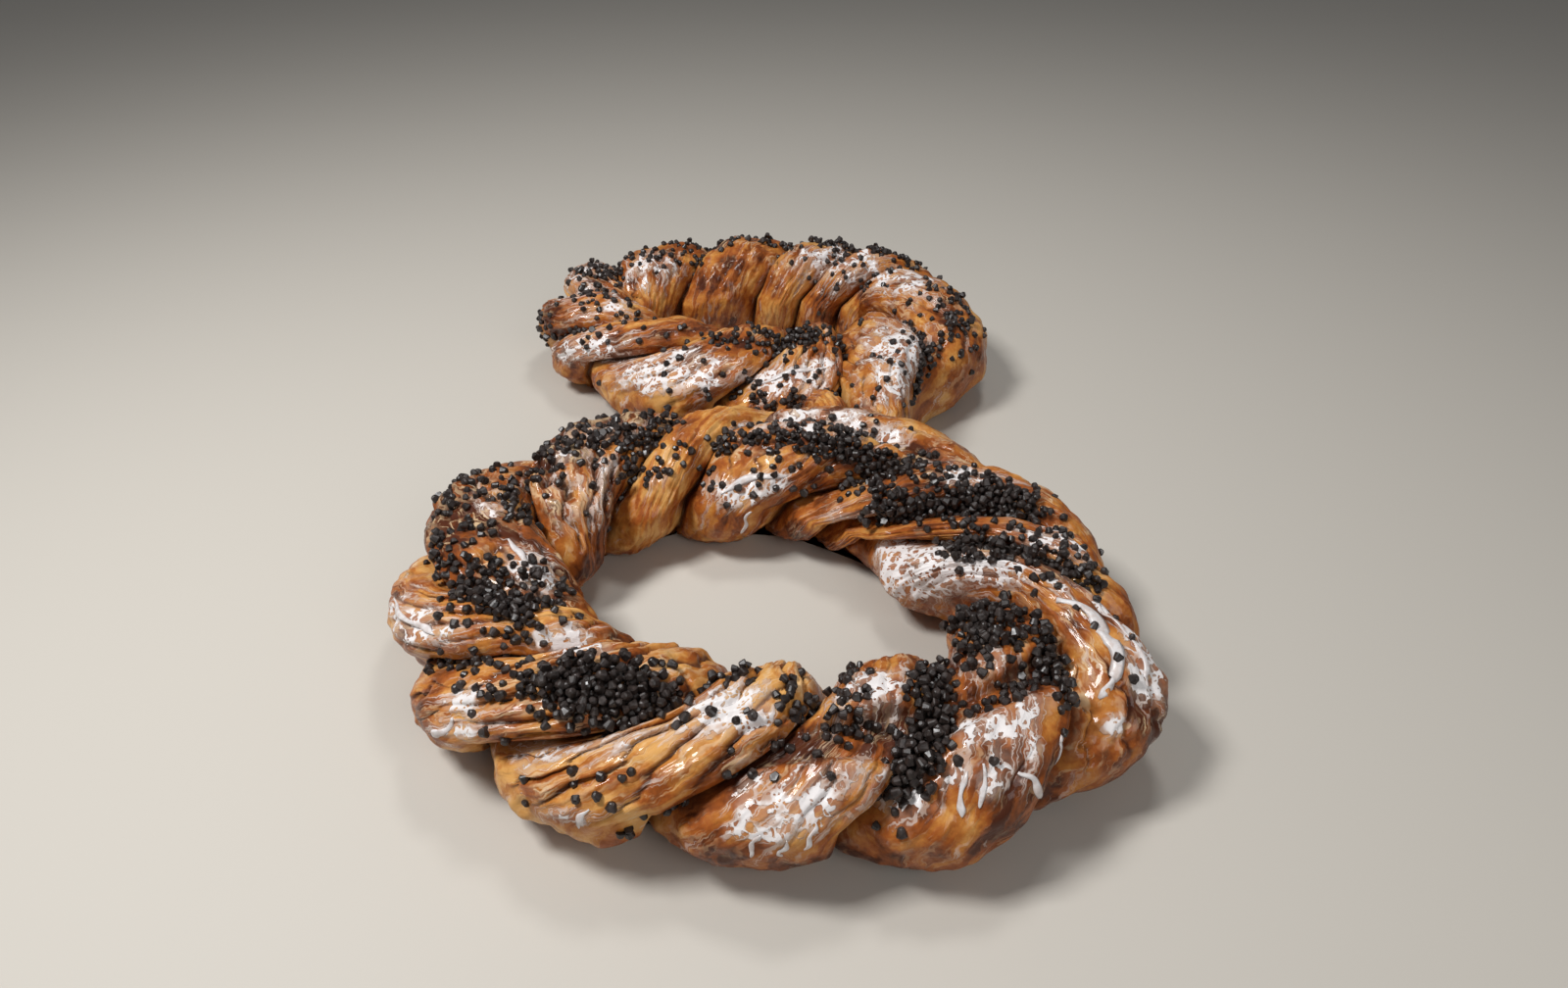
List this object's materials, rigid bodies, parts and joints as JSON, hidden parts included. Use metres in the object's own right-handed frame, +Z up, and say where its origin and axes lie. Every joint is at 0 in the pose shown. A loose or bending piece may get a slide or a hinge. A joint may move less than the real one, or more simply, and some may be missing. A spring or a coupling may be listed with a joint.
{
  "type": "braided sweet bread",
  "caption": "Figure-eight sweet bread of twisted layered dough ropes with a glossy crust, cracked sugar icing and chocolate drops.",
  "frame": {"origin": "centre of the bounding box in plan, on the flat base", "axes": "+Z up from the base, +Y from the large front ring to the small back ring, +X to the right"},
  "size_m": [0.4108, 0.6148, 0.0773],
  "materials": {
    "crust": "glossy baked crust",
    "icing": "thin dried sugar icing",
    "chocolate": "satin dark chocolate"
  },
  "bodies": {
    "root": {"braided_bread": "crust"}
  },
  "joints": []
}
